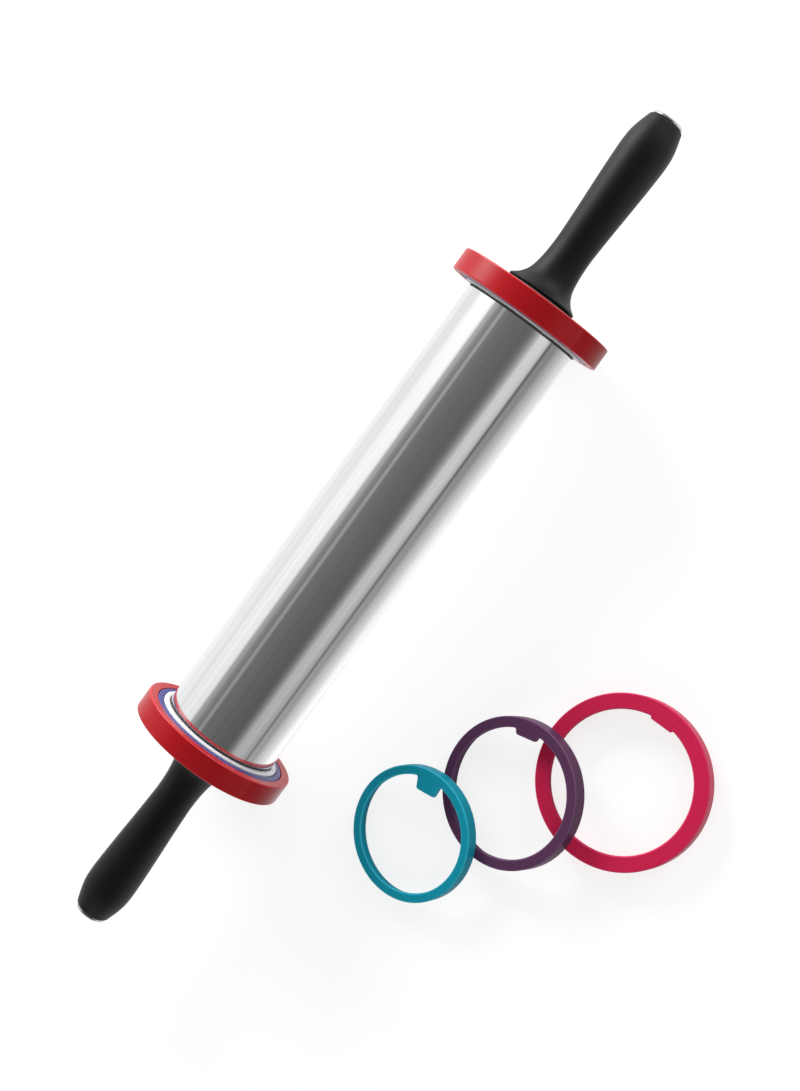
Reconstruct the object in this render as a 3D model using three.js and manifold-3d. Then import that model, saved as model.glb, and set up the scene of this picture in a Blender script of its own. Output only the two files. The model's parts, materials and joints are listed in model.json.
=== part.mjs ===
// Adjustable rolling pin: a steel barrel that turns on an axle between two handles,
// three thickness rings on each of its ends, and three spare rings lying beside it.
// Units are millimetres. The pin lies along X, +Z is up, and the floor is at Z = 0.

import * as THREE from 'three';
import { mergeVertices } from 'three/addons/utils/BufferGeometryUtils.js';
import Module from 'manifold-3d';

// Clearances
const seatClearance = 0.3; // between two pieces that touch
const cutOverrun = 1; // how far a joined or cutting body runs past the face it meets

// Barrel
const barrelDiameter = 60;
const barrelLength = 258;
const barrelWall = 2;
const barrelEdgeChamfer = 0.5;

// Rubber seal ring in a groove beside the thickness rings
const sealSection = 0.7;
const sealGrooveDepth = 0.8;

// Thickness rings, from the smallest to the largest
// gap: dough thickness left under the barrel; lipCover: how far the lip reaches over the piece inside
// tabReach: how far the finger tab stands in from the lip
const ringSizes = [
  { name: 'inner', gap: 3.1, lipCover: 1.5, tabReach: 7 },
  { name: 'middle', gap: 6.3, lipCover: 2.2, tabReach: 3.5 },
  { name: 'outer', gap: 11.4, lipCover: 2.6, tabReach: 1.7 },
];
const ringGrip = 5.2; // length of barrel that the inner ring covers
const ringStagger = 0.8; // the inner ring stands this far past the other two on the barrel side
const ringLip = 2; // thickness of a lip and its tab
const ringEdgeChamfer = 0.5;
const ringLipChamfer = 0.9;
const tabBaseWidth = 14.5;
const tabTipWidth = 11;
const tabCornerRadius = 1.5;

// End plug, pressed into the barrel
const plugLength = 16;
const plugShell = 2.5;
const plugWeb = 3;
const plugHubWall = 3.2;
const plugBossDiameter = 33;
const plugBossChamfer = 0.6;

// Axle, bushes and washers
const axleDiameter = 10;
const axleChamfer = 0.6;
const bushWall = 2;
const bushFlangeDiameter = 20;
const bushFlange = 1.5;
const washerDiameter = 24;
const washerThickness = 1;

// Handle
const collarStandoff = 0.7; // from the outermost ring to the collar
const collarDiameter = 36;
const collarThickness = 1.4;
const collarChamfer = 0.5;
const gripLength = 97.8;
const gripDiameter = 24.8;
const coreWall = 1.5;
const coreTipInset = 0.3; // the core ends just short of the grip's tip
const axleSocketDepth = 46;
const boltSeatDepth = 22.5; // from the grip's tip to the seat of the bolt's head

// Bolt that holds the handle on the axle
const boltDiameter = 5;
const boltEngagement = 16;
const boltHeadDiameter = 9.4;
const boltHeadHeight = 4.5;
const boltSocketAcrossFlats = 4;
const boltSocketDepth = 2.5;
const tappedHoleSpare = 2;

// Polished cap in the tip of the handle
const capDiameter = 16.4;
const capHeight = 2.6;
const capSpigotLength = 8;

// Spare rings beside the pin, measured on the floor from the pin's middle
const spareRings = {
  outer: { along: -21, aside: -164, tabAngle: 2 },
  middle: { along: -57.4, aside: -127.3, tabAngle: 17 },
  inner: { along: -104.3, aside: -100.2, tabAngle: 13 },
};

// Outline of the grip: share of its length from the collar, then share of its largest radius
const gripOutlineShares = [
  [0, 1.61],
  [0.016, 1.43],
  [0.034, 1.24],
  [0.056, 1.09],
  [0.084, 0.97],
  [0.115, 0.9],
  [0.15, 0.856],
  [0.2, 0.818],
  [0.262, 0.803],
  [0.34, 0.822],
  [0.435, 0.858],
  [0.54, 0.906],
  [0.65, 0.953],
  [0.745, 0.986],
  [0.82, 1],
  [0.88, 0.972],
  [0.93, 0.89],
  [0.97, 0.795],
  [1, 0.72],
];

// Facets round each kind of piece
const barrelFacets = 64;
const ringFacets = 48;
const handleFacets = 36;
const smallFacets = 32;
const sealSectionFacets = 8;
const domeSteps = 6;

// Sizes that follow from the ones above
const barrelRadius = barrelDiameter / 2;
const barrelEnd = barrelLength / 2;
const barrelBoreRadius = barrelRadius - barrelWall;
const axleRadius = axleDiameter / 2;
const axleBoreRadius = axleRadius + seatClearance;
const bushRadius = axleBoreRadius + bushWall;
const boltRadius = boltDiameter / 2;
const tappedHoleRadius = boltRadius + seatClearance;

const rings = ringSizes.map((size) => ({ ...size, radius: barrelRadius + size.gap }));
const ringNamed = Object.fromEntries(rings.map((ring) => [ring.name, ring]));
rings.forEach((ring, i) => {
  const carrierRadius = i ? rings[i - 1].radius : barrelRadius;
  const carrierEnd = i ? rings[i - 1].tabFace : barrelEnd;
  ring.boreRadius = carrierRadius + seatClearance;
  ring.lipRadius = carrierRadius - ring.lipCover;
  ring.barrelFace = barrelEnd - ringGrip + (i ? ringStagger : 0);
  ring.lipFace = carrierEnd + seatClearance;
  ring.tabFace = ring.lipFace + ringLip;
  ring.width = ring.tabFace - ring.barrelFace;
});

const collarFace = ringNamed.outer.tabFace + collarStandoff;
const washerFace = collarFace - seatClearance - washerThickness;
const bossEnd = washerFace - seatClearance;
const gripStart = collarFace + collarThickness + seatClearance;
const gripTip = gripStart + gripLength;
const gripRadius = gripDiameter / 2;
const coreRadius = axleBoreRadius + coreWall;
const coreTip = gripTip - coreTipInset;
const boltSeat = gripTip - boltSeatDepth;
const axleEnd = collarFace + axleSocketDepth - seatClearance;
const boltTip = axleEnd - boltEngagement;
const counterboreRadius = boltHeadDiameter / 2 + 2 * seatClearance;

const wasm = await Module();
wasm.setup();

// A body of revolution about Y from points of radius and height, in either direction round
function revolve(outline, facets) {
  const points = outline.map(([radius, height]) => new THREE.Vector2(radius, height));
  if (THREE.ShapeUtils.area(points) < 0) points.reverse();
  const onAxis = points[0].x === 0 && points[points.length - 1].x === 0;
  if (!onAxis) points.push(points[0].clone());
  return new THREE.LatheGeometry(points, facets, Math.PI / facets);
}

// A geometry as a solid that can be joined and cut
function solidOf(geometry) {
  const bare = geometry.clone();
  bare.deleteAttribute('normal');
  bare.deleteAttribute('uv');
  const merged = mergeVertices(bare);
  return new wasm.Manifold(
    new wasm.Mesh({
      numProp: 3,
      vertProperties: merged.attributes.position.array,
      triVerts: new Uint32Array(merged.index.array),
    }),
  );
}

// A solid as a geometry with flat faces
function geometryOf(solid) {
  const mesh = solid.getMesh();
  const indexed = new THREE.BufferGeometry();
  indexed.setAttribute('position', new THREE.BufferAttribute(mesh.vertProperties, 3));
  indexed.setIndex(new THREE.BufferAttribute(mesh.triVerts, 1));
  const geometry = indexed.toNonIndexed();
  geometry.computeVertexNormals();
  return geometry;
}

// Steel tube with chamfered ends and a seal groove near each end
function barrelTube() {
  const innerRing = ringNamed.inner;
  const grooveOuter = innerRing.barrelFace;
  const grooveInner = grooveOuter - sealSection - 2 * seatClearance;
  const grooveRadius = barrelRadius - sealGrooveDepth;
  const half = [
    [barrelBoreRadius, barrelEnd],
    [barrelRadius - barrelEdgeChamfer, barrelEnd],
    [barrelRadius, barrelEnd - barrelEdgeChamfer],
    [barrelRadius, grooveOuter],
    [grooveRadius, grooveOuter],
    [grooveRadius, grooveInner],
    [barrelRadius, grooveInner],
  ];
  const otherHalf = half.map(([radius, height]) => [radius, -height]).reverse();
  return revolve([...half, ...otherHalf], barrelFacets);
}

// Rubber ring in the barrel's groove
function sealRing() {
  const sectionRadius = sealSection / 2;
  const middleRadius = barrelRadius - sealGrooveDepth + seatClearance + sectionRadius;
  const middleHeight = ringNamed.inner.barrelFace - seatClearance - sectionRadius;
  const outline = [];
  for (let i = 0; i < sealSectionFacets; i += 1) {
    const turn = (2 * Math.PI * i) / sealSectionFacets;
    outline.push([
      middleRadius + sectionRadius * Math.cos(turn),
      middleHeight + sectionRadius * Math.sin(turn),
    ]);
  }
  return revolve(outline, ringFacets);
}

// Finger tab of a thickness ring, flush with its outer face and pointing along Z
function ringTab(ring) {
  const root = ring.lipRadius + cutOverrun;
  const tip = ring.lipRadius - ring.tabReach;
  const corner = Math.min(tabCornerRadius, ring.tabReach / 2);
  const slope = (tabBaseWidth - tabTipWidth) / 2 / (root - tip);
  const outline = new THREE.Shape();
  outline.moveTo(-tabBaseWidth / 2, root);
  outline.lineTo(-tabTipWidth / 2 - corner * slope, tip + corner);
  outline.quadraticCurveTo(-tabTipWidth / 2, tip, -tabTipWidth / 2 + corner, tip);
  outline.lineTo(tabTipWidth / 2 - corner, tip);
  outline.quadraticCurveTo(tabTipWidth / 2, tip, tabTipWidth / 2 + corner * slope, tip + corner);
  outline.lineTo(tabBaseWidth / 2, root);
  const tab = new THREE.ExtrudeGeometry(outline, {
    depth: ringLip,
    bevelEnabled: false,
    curveSegments: 3,
  });
  tab.rotateX(Math.PI / 2);
  tab.translate(0, ring.tabFace, 0);
  return tab;
}

// Thickness ring: a band that slides over the piece inside it, a lip that stops it, and a tab
function thicknessRing(ring) {
  const band = revolve(
    [
      [ring.boreRadius, ring.barrelFace],
      [ring.radius - ringEdgeChamfer, ring.barrelFace],
      [ring.radius, ring.barrelFace + ringEdgeChamfer],
      [ring.radius, ring.tabFace - ringEdgeChamfer],
      [ring.radius - ringEdgeChamfer, ring.tabFace],
      [ring.lipRadius + ringLipChamfer, ring.tabFace],
      [ring.lipRadius, ring.tabFace - ringLipChamfer],
      [ring.lipRadius, ring.lipFace],
      [ring.boreRadius, ring.lipFace],
    ],
    ringFacets,
  );
  return geometryOf(solidOf(band).add(solidOf(ringTab(ring))));
}

// Plug that closes the barrel and carries the bush, with a boss that stands out of it
function endPlug() {
  const shellRadius = barrelBoreRadius - seatClearance;
  const boreRadius = bushRadius + seatClearance;
  const bossRadius = plugBossDiameter / 2;
  const innerFace = barrelEnd - plugLength;
  const webFace = barrelEnd - plugWeb;
  const recessRadius = bushFlangeDiameter / 2 + seatClearance;
  const recessFloor = bossEnd - bushFlange - seatClearance;
  return revolve(
    [
      [shellRadius, innerFace],
      [shellRadius, barrelEnd],
      [bossRadius, barrelEnd],
      [bossRadius, bossEnd - plugBossChamfer],
      [bossRadius - plugBossChamfer, bossEnd],
      [recessRadius, bossEnd],
      [recessRadius, recessFloor],
      [boreRadius, recessFloor],
      [boreRadius, innerFace],
      [boreRadius + plugHubWall, innerFace],
      [boreRadius + plugHubWall, webFace],
      [shellRadius - plugShell, webFace],
      [shellRadius - plugShell, innerFace],
    ],
    ringFacets,
  );
}

// Flanged bush between the plug and the axle
function flangedBush() {
  const flangeFace = bossEnd - bushFlange;
  const innerFace = barrelEnd - plugLength;
  return revolve(
    [
      [axleBoreRadius, innerFace],
      [bushRadius, innerFace],
      [bushRadius, flangeFace],
      [bushFlangeDiameter / 2, flangeFace],
      [bushFlangeDiameter / 2, bossEnd],
      [axleBoreRadius, bossEnd],
    ],
    smallFacets,
  );
}

// Washer that takes the push between barrel and handle
function thrustWasher() {
  const outerFace = washerFace + washerThickness;
  return revolve(
    [
      [axleBoreRadius, washerFace],
      [washerDiameter / 2, washerFace],
      [washerDiameter / 2, outerFace],
      [axleBoreRadius, outerFace],
    ],
    smallFacets,
  );
}

// Steel rod through the barrel, tapped at both ends
function axleRod() {
  const holeFloor = boltTip - tappedHoleSpare;
  const half = [
    [0, holeFloor],
    [tappedHoleRadius, holeFloor],
    [tappedHoleRadius, axleEnd],
    [axleRadius - axleChamfer, axleEnd],
    [axleRadius, axleEnd - axleChamfer],
  ];
  const otherHalf = half.map(([radius, height]) => [radius, -height]).reverse();
  return revolve([...half, ...otherHalf], smallFacets);
}

// Disc at the root of the handle
function handleCollar() {
  const holeRadius = coreRadius + seatClearance;
  const outerFace = collarFace + collarThickness;
  const radius = collarDiameter / 2;
  return revolve(
    [
      [holeRadius, collarFace],
      [radius - collarChamfer, collarFace],
      [radius, collarFace + collarChamfer],
      [radius, outerFace - collarChamfer],
      [radius - collarChamfer, outerFace],
      [holeRadius, outerFace],
    ],
    ringFacets,
  );
}

// Stiff core of the handle: a socket for the axle, a bolt hole and a counterbore at the tip
function handleCore() {
  const socketFloor = collarFace + axleSocketDepth;
  return revolve(
    [
      [axleBoreRadius, collarFace],
      [coreRadius, collarFace],
      [coreRadius, coreTip],
      [counterboreRadius, coreTip],
      [counterboreRadius, boltSeat],
      [tappedHoleRadius, boltSeat],
      [tappedHoleRadius, socketFloor],
      [axleBoreRadius, socketFloor],
    ],
    smallFacets,
  );
}

// Socket-head bolt from the core's counterbore into the axle
function handleBolt() {
  const headSeat = boltSeat + seatClearance;
  const headTop = headSeat + boltHeadHeight;
  const body = revolve(
    [
      [0, boltTip],
      [boltRadius, boltTip],
      [boltRadius, headSeat],
      [boltHeadDiameter / 2, headSeat],
      [boltHeadDiameter / 2, headTop],
      [0, headTop],
    ],
    smallFacets,
  );
  const cornerRadius = boltSocketAcrossFlats / 2 / Math.cos(Math.PI / 6);
  const socket = new THREE.CylinderGeometry(cornerRadius, cornerRadius, boltSocketDepth + cutOverrun, 6);
  socket.translate(0, headTop - boltSocketDepth + (boltSocketDepth + cutOverrun) / 2, 0);
  return geometryOf(solidOf(body).subtract(solidOf(socket)));
}

// Soft grip: flared at the collar, waisted, swelling towards a blunt tip
function handleGrip() {
  const boreRadius = coreRadius + seatClearance;
  const outside = gripOutlineShares.map(([along, radius]) => [
    radius * gripRadius,
    gripStart + along * gripLength,
  ]);
  return revolve([[boreRadius, gripStart], ...outside, [boreRadius, gripTip]], handleFacets);
}

// Domed metal cap whose spigot fills the core's counterbore
function handleCap() {
  const seat = gripTip + seatClearance;
  const spigotRadius = counterboreRadius - seatClearance;
  const outline = [
    [0, seat - capSpigotLength],
    [spigotRadius, seat - capSpigotLength],
    [spigotRadius, seat],
  ];
  for (let i = 0; i < domeSteps; i += 1) {
    const turn = (Math.PI / 2) * (i / domeSteps);
    outline.push([(capDiameter / 2) * Math.cos(turn), seat + capHeight * Math.sin(turn)]);
  }
  outline.push([0, seat + capHeight]);
  return revolve(outline, smallFacets);
}

const finishes = {
  polishedSteel: [0xc9cdd0, 0.1, 1],
  plainSteel: [0x9a9da0, 0.35, 1],
  blackPlastic: [0x1b1b1d, 0.45, 0],
  softBlack: [0x232326, 0.75, 0],
  rubber: [0x141415, 0.6, 0],
  nylon: [0xe6e3da, 0.5, 0],
  whiteRing: [0xeeecf2, 0.4, 0],
  violetRing: [0x4a4f9c, 0.4, 0],
  redRing: [0xc21f2b, 0.4, 0],
  tealRing: [0x1a7c8e, 0.4, 0],
  plumRing: [0x52394f, 0.4, 0],
  crimsonRing: [0xb82a4a, 0.4, 0],
};

// A named mesh with its own material
function piece(name, geometry, finish) {
  const [color, roughness, metalness] = finishes[finish];
  const mesh = new THREE.Mesh(
    geometry,
    new THREE.MeshStandardMaterial({ color, roughness, metalness }),
  );
  mesh.name = name;
  return mesh;
}

// Everything at one end of the pin, built along +Y
function pinEnd(side) {
  const group = new THREE.Group();
  const ringFinishes = { inner: 'whiteRing', middle: 'violetRing', outer: 'redRing' };
  group.add(
    piece(`seal_ring_${side}`, sealRing(), 'rubber'),
    piece(`end_plug_${side}`, endPlug(), 'blackPlastic'),
    piece(`bush_${side}`, flangedBush(), 'nylon'),
    piece(`thrust_washer_${side}`, thrustWasher(), 'plainSteel'),
    piece(`handle_collar_${side}`, handleCollar(), 'blackPlastic'),
    piece(`handle_core_${side}`, handleCore(), 'blackPlastic'),
    piece(`handle_bolt_${side}`, handleBolt(), 'plainSteel'),
    piece(`handle_grip_${side}`, handleGrip(), 'softBlack'),
    piece(`handle_cap_${side}`, handleCap(), 'polishedSteel'),
  );
  for (const ring of rings) {
    group.add(piece(`${ring.name}_ring_${side}`, thicknessRing(ring), ringFinishes[ring.name]));
  }
  return group;
}

// Height of the upper face of a lying ring over a point of the floor
function upperFaceHeight(lying, along, aside) {
  const toPoint = (along - lying.along) * lying.headingX + (aside - lying.aside) * lying.headingY;
  const rise = (lying.ring.radius * Math.cos(lying.lean) + toPoint) * Math.tan(lying.lean);
  return rise + lying.ring.width / Math.cos(lying.lean);
}

// Lean of a ring that rests its far edge on the floor and its near side on another ring:
// it clears that ring where its own bore crosses the other's rim, seen from above
function leaningRing(name, support) {
  const { along, aside } = spareRings[name];
  const ring = ringNamed[name];
  const distance = Math.hypot(support.along - along, support.aside - aside);
  const headingX = (support.along - along) / distance;
  const headingY = (support.aside - aside) / distance;
  const toCrossing =
    (distance ** 2 + ring.boreRadius ** 2 - support.ring.radius ** 2) / (2 * distance);
  const acrossCrossing = Math.sqrt(ring.boreRadius ** 2 - toCrossing ** 2);
  const heights = [-acrossCrossing, acrossCrossing].map((across) =>
    upperFaceHeight(
      support,
      along + toCrossing * headingX - across * headingY,
      aside + toCrossing * headingY + across * headingX,
    ),
  );
  const lean = Math.asin((Math.max(...heights) + seatClearance) / (ring.radius + toCrossing));
  return { ring, along, aside, headingX, headingY, lean };
}

// A spare ring on the floor with its tab side up, leaning as worked out above
function spareRing(lying, finish) {
  const { ring, lean } = lying;
  const mesh = piece(`spare_${ring.name}_ring`, thicknessRing(ring), finish);
  mesh.geometry.translate(0, -ring.barrelFace, 0);
  mesh.rotation.x = Math.PI / 2;
  const turned = new THREE.Group();
  turned.rotation.z = THREE.MathUtils.degToRad(spareRings[ring.name].tabAngle) + Math.PI / 2;
  turned.add(mesh);
  const placed = new THREE.Group();
  placed.quaternion.setFromAxisAngle(new THREE.Vector3(lying.headingY, -lying.headingX, 0), lean);
  placed.position.set(lying.along, lying.aside, floorHeight + ring.radius * Math.sin(lean));
  placed.add(turned);
  return placed;
}

// The outermost rings stand on the floor on one of their facets
const floorHeight = -ringNamed.outer.radius * Math.cos(Math.PI / ringFacets);

const assembly = new THREE.Group();

const middle = new THREE.Group();
middle.rotation.z = -Math.PI / 2;
middle.add(
  piece('barrel', barrelTube(), 'polishedSteel'),
  piece('axle', axleRod(), 'plainSteel'),
);
assembly.add(middle);

const rightEnd = pinEnd('right');
rightEnd.rotation.z = -Math.PI / 2;
const leftEnd = pinEnd('left');
leftEnd.rotation.z = Math.PI / 2;
assembly.add(rightEnd, leftEnd);

const lyingOuter = {
  ring: ringNamed.outer,
  along: spareRings.outer.along,
  aside: spareRings.outer.aside,
  headingX: 1,
  headingY: 0,
  lean: 0,
};
const lyingMiddle = leaningRing('middle', lyingOuter);
const lyingInner = leaningRing('inner', lyingMiddle);
assembly.add(
  spareRing(lyingOuter, 'crimsonRing'),
  spareRing(lyingMiddle, 'plumRing'),
  spareRing(lyingInner, 'tealRing'),
);

// The part's origin is the middle of its bounding box, on the floor
const bounds = new THREE.Box3().setFromObject(assembly, true);
const centre = bounds.getCenter(new THREE.Vector3());
assembly.position.set(-centre.x, -centre.y, -bounds.min.z);

const part = new THREE.Group();
part.add(assembly);

export default part;
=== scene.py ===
import json
import math

import bpy
import numpy as np
from mathutils import Matrix, Vector

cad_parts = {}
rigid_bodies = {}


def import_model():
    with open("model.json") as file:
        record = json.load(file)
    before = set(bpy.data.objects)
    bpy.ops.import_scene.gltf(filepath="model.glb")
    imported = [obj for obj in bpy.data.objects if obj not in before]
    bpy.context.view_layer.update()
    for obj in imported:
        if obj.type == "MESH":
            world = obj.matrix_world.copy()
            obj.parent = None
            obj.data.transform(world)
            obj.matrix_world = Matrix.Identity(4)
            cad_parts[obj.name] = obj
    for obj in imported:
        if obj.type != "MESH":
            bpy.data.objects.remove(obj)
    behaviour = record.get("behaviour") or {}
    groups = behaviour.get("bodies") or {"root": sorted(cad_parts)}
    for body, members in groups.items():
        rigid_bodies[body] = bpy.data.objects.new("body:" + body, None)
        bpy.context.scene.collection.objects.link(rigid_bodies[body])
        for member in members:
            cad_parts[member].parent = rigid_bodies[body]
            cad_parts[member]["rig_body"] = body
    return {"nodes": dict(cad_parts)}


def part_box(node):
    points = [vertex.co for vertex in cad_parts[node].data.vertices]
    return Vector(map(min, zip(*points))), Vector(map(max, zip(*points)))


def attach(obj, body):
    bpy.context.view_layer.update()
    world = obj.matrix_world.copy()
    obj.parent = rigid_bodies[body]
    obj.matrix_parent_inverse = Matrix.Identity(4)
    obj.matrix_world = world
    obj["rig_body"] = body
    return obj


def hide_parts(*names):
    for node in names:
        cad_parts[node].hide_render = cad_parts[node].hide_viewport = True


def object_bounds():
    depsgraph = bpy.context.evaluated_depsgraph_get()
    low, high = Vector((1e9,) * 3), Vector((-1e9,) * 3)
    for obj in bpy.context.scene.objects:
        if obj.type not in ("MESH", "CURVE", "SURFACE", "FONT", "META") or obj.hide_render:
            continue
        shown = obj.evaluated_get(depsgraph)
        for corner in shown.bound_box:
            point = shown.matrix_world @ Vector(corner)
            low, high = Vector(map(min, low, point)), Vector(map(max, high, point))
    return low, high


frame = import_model()
cad_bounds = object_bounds()

bl_info = {
    "name": "Adjustable Rolling Pin",
    "version": (1, 0, 0),
    "blender": (4, 5, 0),
    "location": "View3D > Sidebar > Rolling Pin",
    "description": "Steel rolling pin with slide-on thickness rings, built around its CAD model",
    "category": "Object",
}

MM = 0.001
SIDES = {"left": -1.0, "right": 1.0}
FITTED_SLOTS = {"inner": "ring_white", "middle": "ring_violet", "outer": "ring_red"}
SPARE_SLOTS = {"inner": "ring_teal", "middle": "ring_plum", "outer": "ring_crimson"}
RING_SIDES_IN_CAD = 48
PLASTIC_AROUND = 160
METAL_AROUND = 128
HANDLE_BORE = 7.1 * MM


def unit(vectors):
    """Vectors with the same directions and a length of 1."""
    return vectors / np.linalg.norm(vectors, axis=-1, keepdims=True)


# Reading the CAD nodes

def node_points(node):
    """The vertices of a CAD node as rows of x, y, z in metres."""
    mesh = frame["nodes"][node].data
    points = np.empty(len(mesh.vertices) * 3, np.float32)
    mesh.vertices.foreach_get("co", points)
    return points.reshape(-1, 3).astype(float)


def node_box(node):
    """Lowest and highest corners of a CAD node as arrays."""
    low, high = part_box(node)
    return np.array(low), np.array(high)


AXIS = sum(node_box("axle")) / 2


def span_along(node, side):
    """Nearest and furthest distance of a node from the pin's middle, counted outwards on its side."""
    low, high = node_box(node)
    return np.sort(np.array([low[0], high[0]]) * side)


def radius_of(node):
    """Radius of the circle that fills a turned node's box: half its height."""
    low, high = node_box(node)
    return (high[2] - low[2]) / 2


def both(kind):
    """The node of a kind at each end of the pin, with its side."""
    return [(f"{kind}_{name}", side) for name, side in SIDES.items()]


def turned_outline(node, side):
    """Outline of a turned node: every distance along the pin that has vertices, with its largest radius."""
    points = node_points(node)
    along = np.round(points[:, 0] * side, 5)
    radius = np.hypot(points[:, 1] - AXIS[1], points[:, 2] - AXIS[2])
    places, member = np.unique(along, return_inverse=True)
    widest = np.zeros(len(places))
    np.maximum.at(widest, member.ravel(), radius)
    return np.column_stack([widest, places])


def ring_place(node):
    """Centre, axis, tab direction, radius and width of a thickness ring, measured on its CAD node.

    The axis is the face normal that holds the most area. In axes along it, the ring's centre is the
    middle of its box. The tab is where the vertices lie nearest to the centre, and the axis is turned
    so that it points out of the face with the tab.
    """
    nearly_upright, tip_band = 0.9, 0.4 * MM
    mesh = frame["nodes"][node].data
    normals = np.empty(len(mesh.polygons) * 3, np.float32)
    areas = np.empty(len(mesh.polygons), np.float32)
    mesh.polygons.foreach_get("normal", normals)
    mesh.polygons.foreach_get("area", areas)
    normals = normals.reshape(-1, 3)
    member = np.unique(np.round(normals, 3), axis=0, return_inverse=True)[1].ravel()
    widest = member == np.argmax(np.bincount(member, weights=areas))
    axis = unit((normals[widest] * areas[widest, None]).sum(0).astype(float))
    helper = np.array([0.0, 0.0, 1.0]) if abs(axis[2]) < nearly_upright else np.array([0.0, 1.0, 0.0])
    across = unit(np.cross(axis, helper))
    rows = np.array([across, np.cross(axis, across), axis])
    local = node_points(node) @ rows.T
    middle = (local.min(0) + local.max(0)) / 2
    offset = local - middle
    reach = np.hypot(offset[:, 0], offset[:, 1])
    tip = reach < reach.min() + tip_band
    tab = offset[tip, :2].mean(0) @ rows[:2]
    return {
        "centre": middle @ rows,
        "axis": axis * np.sign(offset[tip, 2].mean()),
        "tab": unit(tab),
        "radius": reach.max() * math.cos(math.pi / RING_SIDES_IN_CAD),
        "width": np.ptp(offset[:, 2]),
    }


# Outlines and surfaces

def corner_arcs(before, corner, after, rounding, steps=6):
    """Rounded corners of an outline, each as a row of points.

    Both edges of a corner are left at one tangent length from it, rounding divided by the tangent
    of half the corner's angle, and a circular arc of that rounding joins the two places. One more
    point lies on each edge just outside the arc, so the flat beyond it is shaded flat.
    """
    lead = 0.35
    before, corner, after = (np.asarray(p, float) for p in (before, corner, after))
    rounding = np.broadcast_to(np.asarray(rounding, float), len(corner))[:, None]
    back = unit(before - corner)
    ahead = unit(after - corner)
    half = np.arccos(np.clip((back * ahead).sum(1), -1, 1))[:, None] / 2
    tangent = rounding / np.tan(half)
    centre = corner + unit(back + ahead) * rounding / np.sin(half)
    start = corner + back * tangent - centre
    end = corner + ahead * tangent - centre
    sweep = (math.pi - 2 * half)[:, :, None]
    share = np.linspace(0, 1, steps + 1)[None, :, None]
    arc = np.sin((1 - share) * sweep) * start[:, None] + np.sin(share * sweep) * end[:, None]
    arc = centre[:, None] + arc / np.sin(sweep)
    entry = corner + back * tangent * (1 + lead)
    leave = corner + ahead * tangent * (1 + lead)
    return np.concatenate([entry[:, None], arc, leave[:, None]], axis=1)


def rounded_outline(corners, rounding, steps=6):
    """A closed outline of straight edges whose corners are arcs, as one row per corner."""
    corners = np.asarray(corners, float)
    return corner_arcs(np.roll(corners, 1, 0), corners, np.roll(corners, -1, 0), rounding, steps)


def smooth_line(points, count):
    """A smooth curve through points: on each span a cubic whose slopes come from the neighbours' chord.

    The parameter is the run along the points, and count places are taken at even steps of it.
    """
    points = np.asarray(points, float)
    steps = np.linalg.norm(np.diff(points, axis=0), axis=1)
    knots = np.concatenate([[0], np.cumsum(steps)])
    slopes = np.gradient(points, knots, axis=0)
    run = np.linspace(0, knots[-1], count)
    span = np.clip(np.searchsorted(knots, run, side="right") - 1, 0, len(steps) - 1)
    length = steps[span][:, None]
    u = (run - knots[span])[:, None] / length
    return (
        (2 * u**3 - 3 * u**2 + 1) * points[span]
        + (u**3 - 2 * u**2 + u) * length * slopes[span]
        + (3 * u**2 - 2 * u**3) * points[span + 1]
        + (u**3 - u**2) * length * slopes[span + 1]
    )


def add_object(name, data):
    """An object of a mesh, lamp or camera, linked to the scene."""
    made = bpy.data.objects.new(name, data)
    bpy.context.scene.collection.objects.link(made)
    return made


def skin(name, grid, poles=False):
    """A mesh over a grid of points, where grid[i, j] is point j round the piece on line i of its outline.

    Every line closes on itself. The outline closes too, or with poles its first and last lines shrink
    to single points on the axis, closed with triangles. The corners of each face are put in the order
    that makes the enclosed volume positive, so the faces point outwards.
    """
    lines, around = grid.shape[:2]
    if poles:
        points = np.concatenate([grid[:1, 0], grid[1:-1].reshape(-1, 3), grid[-1:, 0]])
        body = 1 + np.arange((lines - 2) * around).reshape(lines - 2, around)
        beyond = np.roll(body, -1, axis=1)
        quads = np.stack([body[:-1], beyond[:-1], beyond[1:], body[1:]], -1).reshape(-1, 4)
        first = np.stack([np.zeros(around, int), beyond[0], body[0]], -1)
        last = np.stack([np.full(around, len(points) - 1), body[-1], beyond[-1]], -1)
        triangles = np.concatenate([first, last])
    else:
        points = grid.reshape(-1, 3)
        body = np.arange(lines * around).reshape(lines, around)
        beyond = np.roll(body, -1, axis=1)
        above = np.roll(body, -1, axis=0)
        corner = np.roll(beyond, -1, axis=0)
        quads = np.stack([body, beyond, corner, above], -1).reshape(-1, 4)
        triangles = np.empty((0, 3), int)
    inside = points.mean(0)
    halves = np.concatenate([quads[:, [0, 1, 2]], quads[:, [0, 2, 3]], triangles])
    a, b, c = (points[halves[:, k]] - inside for k in range(3))
    if (a * np.cross(b, c)).sum() < 0:
        quads = quads[:, ::-1]
        triangles = triangles[:, ::-1]
    mesh = bpy.data.meshes.new(name)
    mesh.from_pydata(points.tolist(), [], quads.tolist() + triangles.tolist())
    mesh.validate()
    mesh.polygons.foreach_set("use_smooth", np.ones(len(mesh.polygons), bool))
    mesh.update()
    return add_object(name, mesh)


def turns_round(count):
    """Even turns round a circle, in radians."""
    return np.arange(count) * 2 * math.pi / count


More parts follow.
